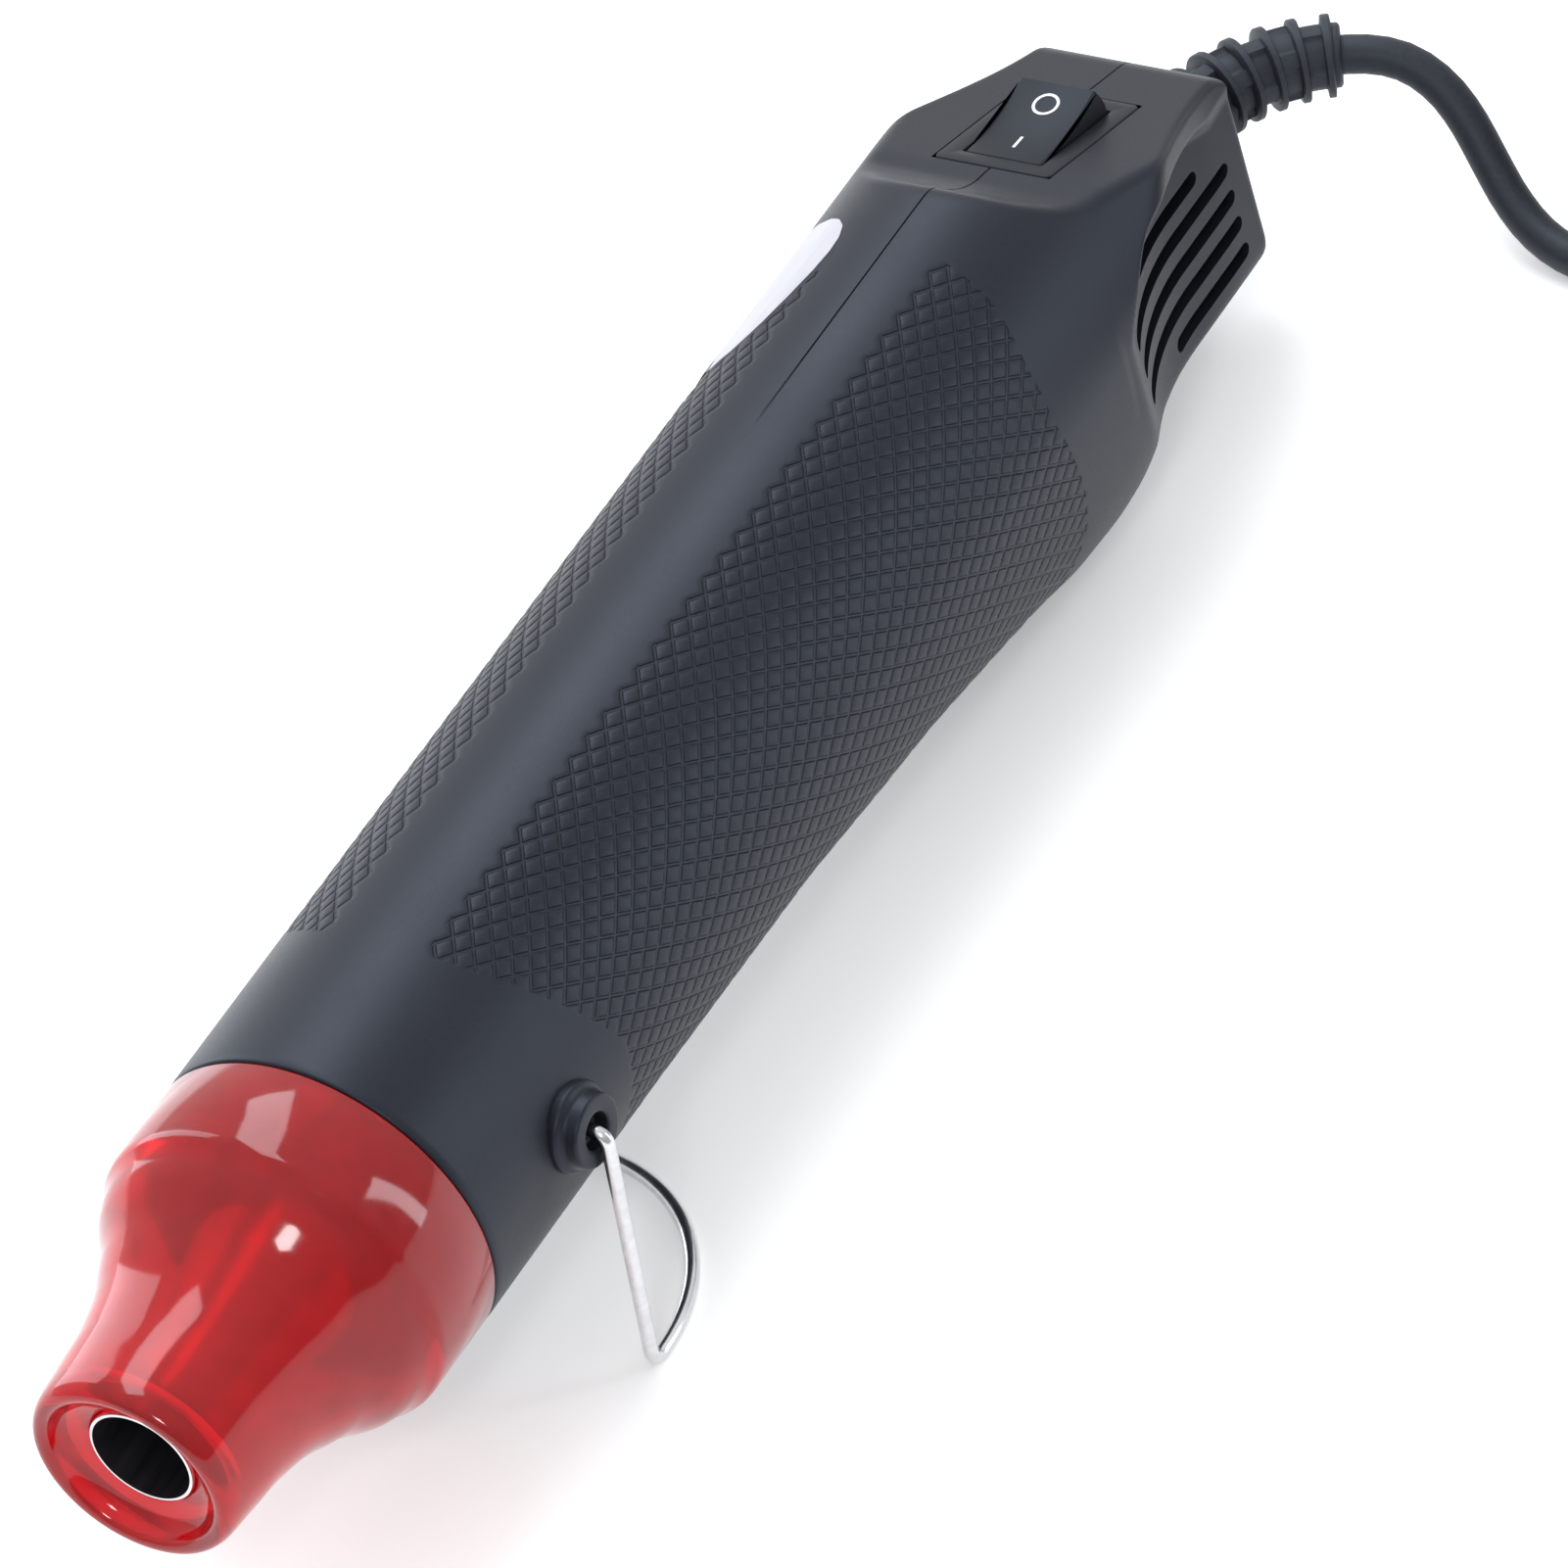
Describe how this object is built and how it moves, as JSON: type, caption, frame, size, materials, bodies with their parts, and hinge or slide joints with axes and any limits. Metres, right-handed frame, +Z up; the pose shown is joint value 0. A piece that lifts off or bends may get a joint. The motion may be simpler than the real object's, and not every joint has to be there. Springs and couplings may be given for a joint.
{
  "type": "embossing heat tool",
  "caption": "Hand-held hot-air craft tool with a knurled round barrel, flared translucent guard round a steel outlet, wire stand, rear rocker switch and ribbed cord relief.",
  "frame": {"origin": "centre of the footprint on the bench, under the middle of the body between the guard's mouth and the rear wall, cord left out", "axes": "+Y from the nozzle's mouth to the rear wall, +Z up, +X to the side where the cord lies"},
  "size_m": [0.1458, 0.3695, 0.063],
  "materials": {
    "shell": "fine grain",
    "guard": "translucent gloss",
    "steel": "bright",
    "mica": "matt sheet",
    "ceramic": "matt",
    "resistance_wire": "drawn",
    "inner_plastic": "moulded",
    "magnet": "sintered",
    "copper": "wound",
    "brass": "stamped",
    "board": "lacquer",
    "switch": "satin",
    "label": "satin foil",
    "rubber": "matt",
    "insulation_red": "satin",
    "insulation_blue": "satin",
    "insulation_brown": "satin",
    "pin_metal": "plated"
  },
  "bodies": {
    "root": {"housing_right": "shell", "housing_left": "shell", "nozzle_guard": "guard", "heater_tube": "steel", "mica_liner": "mica", "mica_cross": "mica", "heating_coil": "resistance_wire", "element_base": "ceramic", "thermal_cutout": "ceramic", "fan_shroud": "inner_plastic", "motor_can": "steel", "motor_magnets": "magnet", "motor_end_cap": "inner_plastic", "motor_mount": "inner_plastic", "rectifier_board": "board", "rectifier_diodes": "inner_plastic", "capacitor": "insulation_blue", "switch_body": "switch", "rocker_pin": "steel", "switch_terminals": "brass", "rating_label": "label", "housing_screws": "steel", "cord_clamp": "inner_plastic", "clamp_screws": "steel", "lead_heater": "insulation_red", "lead_motor": "insulation_blue", "lead_supply": "insulation_brown", "strain_relief": "rubber", "power_cord": "rubber", "cord_coil": "rubber", "cord_tail": "rubber", "cord_tie": "rubber", "plug_body": "rubber", "plug_pins": "pin_metal"},
    "stand": {"stand": "steel"},
    "rocker": {"switch_rocker": "switch"},
    "rotor": {"fan_impeller": "inner_plastic", "motor_shaft": "steel", "motor_armature": "copper", "commutator": "copper"}
  },
  "joints": [
    {"name": "stand_hinge", "type": "hinge", "parent": "root", "child": "stand", "pos_m": [0, -0.065, 0.038], "axis": [-1, 0, 0], "range_deg": [0, 80]},
    {"name": "rocker_tilt", "type": "hinge", "parent": "root", "child": "rocker", "pos_m": [0, 0.11007, 0.0492], "axis": [-1, 0, 0], "range_deg": [0, 32]},
    {"name": "fan_spin", "type": "hinge", "parent": "root", "child": "rotor", "pos_m": [0, -0.012, 0.038], "axis": [0, 1, 0], "continuous": true}
  ]
}
